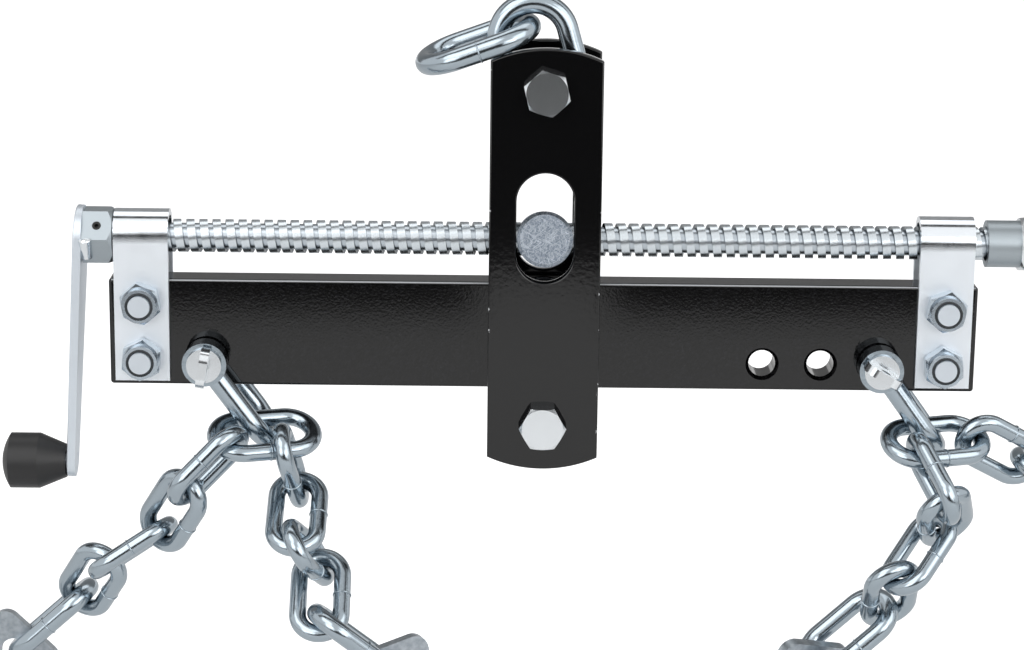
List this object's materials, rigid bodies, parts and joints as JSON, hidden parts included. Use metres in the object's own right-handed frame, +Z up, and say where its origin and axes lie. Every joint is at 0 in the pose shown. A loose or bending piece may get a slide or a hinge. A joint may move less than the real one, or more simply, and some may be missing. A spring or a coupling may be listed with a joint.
{
  "type": "engine load leveler",
  "caption": "Beam with a crank-turned screw that shifts a pivoting hanger along it, so an engine slung on shackled chain legs with bolt-on plates can be tilted while it hangs.",
  "frame": {"origin": "on the top bolt's axis, midway between the hanger plates", "axes": "+X along the screw from the crank towards its plain end, +Y from the front plate to the back, +Z up"},
  "size_m": [0.7028, 0.0967, 0.3764],
  "materials": {
    "black_paint": "gloss",
    "zinc_steel": "bright zinc plate",
    "knob_plastic": "matt"
  },
  "bodies": {
    "hanger": {"hanger_plate_front": "black_paint", "hanger_plate_back": "black_paint", "hanger_bolt_top": "zinc_steel", "hanger_bolt_low": "zinc_steel", "hanger_nut_top": "zinc_steel", "hanger_nut_low": "zinc_steel"},
    "trunnion": {"trunnion_nut": "zinc_steel"},
    "beam": {"beam": "black_paint", "strap_left": "zinc_steel", "strap_right": "zinc_steel", "strap_bolt_left_upper": "zinc_steel", "strap_bolt_left_lower": "zinc_steel", "strap_bolt_right_upper": "zinc_steel", "strap_bolt_right_lower": "zinc_steel", "strap_nut_left_upper": "zinc_steel", "strap_nut_left_lower": "zinc_steel", "strap_nut_right_upper": "zinc_steel", "strap_nut_right_lower": "zinc_steel"},
    "screw": {"screw": "zinc_steel", "roll_pin": "zinc_steel", "crank_collar": "zinc_steel", "crank_arm": "zinc_steel", "knob_pin": "zinc_steel", "end_sleeve": "zinc_steel", "end_nut": "zinc_steel"},
    "knob": {"crank_knob": "knob_plastic"},
    "shackle_left": {"shackle_left": "zinc_steel", "shackle_pin_left": "zinc_steel"},
    "master_link_left": {"master_link_left": "zinc_steel"},
    "shackle_right": {"shackle_right": "zinc_steel", "shackle_pin_right": "zinc_steel"},
    "master_link_right": {"master_link_right": "zinc_steel"},
    "left_outer_link_1": {"left_outer_link_1": "zinc_steel"},
    "left_outer_link_2": {"left_outer_link_2": "zinc_steel"},
    "left_outer_link_3": {"left_outer_link_3": "zinc_steel"},
    "left_outer_link_4": {"left_outer_link_4": "zinc_steel"},
    "left_outer_end_link": {"left_outer_end_link": "zinc_steel"},
    "left_outer_end_plate": {"left_outer_end_plate": "zinc_steel"},
    "left_inner_link_1": {"left_inner_link_1": "zinc_steel"},
    "left_inner_link_2": {"left_inner_link_2": "zinc_steel"},
    "left_inner_link_3": {"left_inner_link_3": "zinc_steel"},
    "left_inner_link_4": {"left_inner_link_4": "zinc_steel"},
    "left_inner_end_link": {"left_inner_end_link": "zinc_steel"},
    "left_inner_end_plate": {"left_inner_end_plate": "zinc_steel"},
    "right_inner_link_1": {"right_inner_link_1": "zinc_steel"},
    "right_inner_link_2": {"right_inner_link_2": "zinc_steel"},
    "right_inner_link_3": {"right_inner_link_3": "zinc_steel"},
    "right_inner_link_4": {"right_inner_link_4": "zinc_steel"},
    "right_inner_end_link": {"right_inner_end_link": "zinc_steel"},
    "right_inner_end_plate": {"right_inner_end_plate": "zinc_steel"},
    "right_outer_link_1": {"right_outer_link_1": "zinc_steel"},
    "right_outer_link_2": {"right_outer_link_2": "zinc_steel"},
    "right_outer_link_3": {"right_outer_link_3": "zinc_steel"},
    "right_outer_link_4": {"right_outer_link_4": "zinc_steel"},
    "right_outer_end_link": {"right_outer_end_link": "zinc_steel"},
    "right_outer_end_plate": {"right_outer_end_plate": "zinc_steel"},
    "top_link": {"top_link": "zinc_steel"},
    "hook_link": {"hook_link": "zinc_steel"}
  },
  "joints": [
    {"name": "beam_tilt", "type": "hinge", "parent": "hanger", "child": "trunnion", "pos_m": [0, 0, -0.0715], "axis": [0, 0.9781, -0.2079], "range_deg": [-15, 15]},
    {"name": "beam_travel", "type": "slide", "parent": "trunnion", "child": "beam", "axis": [1, 0, 0], "range_m": [-0.0901, 0.0541]},
    {"name": "crank_turn", "type": "hinge", "parent": "beam", "child": "screw", "pos_m": [0, 0, -0.0715], "axis": [1, 0, 0], "range_deg": [-5400, 3240]},
    {"name": "knob_spin", "type": "hinge", "parent": "screw", "child": "knob", "pos_m": [-0.22236, 0, -0.18022], "axis": [1, 0, 0], "continuous": true},
    {"name": "shackle_left_swing", "type": "hinge", "parent": "beam", "child": "shackle_left", "pos_m": [-0.1555, 0, -0.1279], "axis": [0, 1, 0], "range_deg": [-15, 15]},
    {"name": "master_link_left_swing", "type": "hinge", "parent": "shackle_left", "child": "master_link_left", "pos_m": [-0.13111, -0.01299, -0.16147], "axis": [0.509, 0.5, -0.7006], "range_deg": [-5, 10]},
    {"name": "left_outer_link_1_swing", "type": "hinge", "parent": "master_link_left", "child": "left_outer_link_1", "pos_m": [-0.14149, -0.02906, -0.16673], "axis": [0.967, -0.1547, -0.2023], "range_deg": [-15, 15]},
    {"name": "left_outer_link_2_swing", "type": "hinge", "parent": "left_outer_link_1", "child": "left_outer_link_2", "pos_m": [-0.16726, -0.03263, -0.18718], "axis": [0.2472, 0.8529, -0.4599], "range_deg": [-10, 15]},
    {"name": "left_outer_link_3_swing", "type": "hinge", "parent": "left_outer_link_2", "child": "left_outer_link_3", "pos_m": [-0.1795, -0.01428, -0.21275], "axis": [0.6956, -0.383, -0.6078], "range_deg": [-15, 15]},
    {"name": "left_outer_link_4_swing", "type": "hinge", "parent": "left_outer_link_3", "child": "left_outer_link_4", "pos_m": [-0.20696, -0.01937, -0.228], "axis": [-0.0051, 0.9512, -0.3084], "range_deg": [-2, 15]},
    {"name": "left_outer_end_link_swing", "type": "hinge", "parent": "left_outer_link_4", "child": "left_outer_end_link", "pos_m": [-0.21936, 0.00275, -0.25153], "axis": [0.8095, -0.1504, -0.5676], "range_deg": [-15, 15]},
    {"name": "left_outer_end_plate_swing", "type": "hinge", "parent": "left_outer_end_link", "child": "left_outer_end_plate", "pos_m": [-0.24841, 0.00292, -0.27504], "axis": [0.0583, 0.9962, -0.0648], "range_deg": [-20, 20]},
    {"name": "left_inner_link_1_swing", "type": "hinge", "parent": "master_link_left", "child": "left_inner_link_1", "pos_m": [-0.12113, -0.02371, -0.16738], "axis": [0.9469, 0.3214, -0.0001], "range_deg": [-15, 15]},
    {"name": "left_inner_link_2_swing", "type": "hinge", "parent": "left_inner_link_1", "child": "left_inner_link_2", "pos_m": [-0.11279, -0.00528, -0.19251], "axis": [-0.1192, 0.8192, 0.561], "range_deg": [-10, 5]},
    {"name": "left_inner_link_3_swing", "type": "hinge", "parent": "left_inner_link_2", "child": "left_inner_link_3", "pos_m": [-0.11333, -0.04316, -0.20792], "axis": [0.9994, 0, -0.0349], "range_deg": [-15, 12]},
    {"name": "left_inner_link_4_swing", "type": "hinge", "parent": "left_inner_link_3", "child": "left_inner_link_4", "pos_m": [-0.10157, -0.01787, -0.22404], "axis": [-0.37, 0.6157, 0.6958], "range_deg": [-5, 8]},
    {"name": "left_inner_end_link_swing", "type": "hinge", "parent": "left_inner_link_4", "child": "left_inner_end_link", "pos_m": [-0.10157, -0.05389, -0.24524], "axis": [1, 0, 0], "range_deg": [-15, 8]},
    {"name": "left_inner_end_plate_swing", "type": "hinge", "parent": "left_inner_end_link", "child": "left_inner_end_plate", "pos_m": [-0.06855, -0.04175, -0.26608], "axis": [-0.359, 0.933, -0.0251], "range_deg": [-12, 20]},
    {"name": "shackle_right_swing", "type": "hinge", "parent": "beam", "child": "shackle_right", "pos_m": [0.1555, 0, -0.1279], "axis": [0, 1, 0], "range_deg": [-10, 15]},
    {"name": "master_link_right_swing", "type": "hinge", "parent": "shackle_right", "child": "master_link_right", "pos_m": [0.17989, -0.01299, -0.16147], "axis": [0.509, 0.5, -0.7006], "range_deg": [-5, 10]},
    {"name": "right_inner_link_1_swing", "type": "hinge", "parent": "master_link_right", "child": "right_inner_link_1", "pos_m": [0.16951, -0.02906, -0.16673], "axis": [0.967, -0.1547, -0.2023], "range_deg": [-15, 10]},
    {"name": "right_inner_link_2_swing", "type": "hinge", "parent": "right_inner_link_1", "child": "right_inner_link_2", "pos_m": [0.18576, -0.05144, -0.18564], "axis": [0.0686, 0.6725, -0.7369], "range_deg": [-10, 5]},
    {"name": "right_inner_link_3_swing", "type": "hinge", "parent": "right_inner_link_2", "child": "right_inner_link_3", "pos_m": [0.19018, -0.01603, -0.20626], "axis": [0.8592, 0.1732, 0.4814], "range_deg": [-4, 8]},
    {"name": "right_inner_link_4_swing", "type": "hinge", "parent": "right_inner_link_3", "child": "right_inner_link_4", "pos_m": [0.16428, -0.03818, -0.22554], "axis": [-0.615, 0.7849, -0.0755], "range_deg": [-15, 15]},
    {"name": "right_inner_end_link_swing", "type": "hinge", "parent": "right_inner_link_4", "child": "right_inner_end_link", "pos_m": [0.1636, -0.01416, -0.24885], "axis": [0.9438, 0.2435, 0.2233], "range_deg": [-5, 15]},
    {"name": "right_inner_end_plate_swing", "type": "hinge", "parent": "right_inner_end_link", "child": "right_inner_end_plate", "pos_m": [0.12744, -0.02334, -0.26977], "axis": [-0.3683, 0.8975, 0.2427], "range_deg": [-20, 12]},
    {"name": "right_outer_link_1_swing", "type": "hinge", "parent": "master_link_right", "child": "right_outer_link_1", "pos_m": [0.20433, -0.00721, -0.16253], "axis": [-0.2939, 0.866, 0.4045], "range_deg": [-15, 15]},
    {"name": "right_outer_link_2_swing", "type": "hinge", "parent": "right_outer_link_1", "child": "right_outer_link_2", "pos_m": [0.23118, -0.00071, -0.17839], "axis": [-0.5313, 0.1677, -0.8304], "range_deg": [-15, 15]},
    {"name": "right_outer_link_3_swing", "type": "hinge", "parent": "right_outer_link_2", "child": "right_outer_link_3", "pos_m": [0.26034, -0.00081, -0.19079], "axis": [-0.0368, -0.9962, -0.079], "range_deg": [-15, 15]},
    {"name": "right_outer_link_4_swing", "type": "hinge", "parent": "right_outer_link_3", "child": "right_outer_link_4", "pos_m": [0.28771, -0.00087, -0.20659], "axis": [-0.4981, 0.0872, -0.8627], "range_deg": [-15, 15]},
    {"name": "right_outer_end_link_swing", "type": "hinge", "parent": "right_outer_link_4", "child": "right_outer_end_link", "pos_m": [0.31507, -0.00087, -0.22239], "axis": [-0.0436, -0.9962, -0.0755], "range_deg": [-15, 15]},
    {"name": "right_outer_end_plate_swing", "type": "hinge", "parent": "right_outer_end_link", "child": "right_outer_end_plate", "pos_m": [0.34546, -0.00094, -0.24368], "axis": [-0.5714, 0.0872, -0.816], "range_deg": [-20, 20]},
    {"name": "top_link_swing", "type": "hinge", "parent": "hanger", "child": "top_link", "pos_m": [0, 0, 0], "axis": [0, 1, 0], "range_deg": [0, 40]},
    {"name": "hook_link_swing", "type": "hinge", "parent": "top_link", "child": "hook_link", "pos_m": [-0.00623, 0, 0.02173], "axis": [0, 1, 0], "range_deg": [0, 70]}
  ],
  "couplings": [
    {"joint": "beam_travel", "follows": "crank_turn", "m_per_rad": 0.00095493}
  ]
}
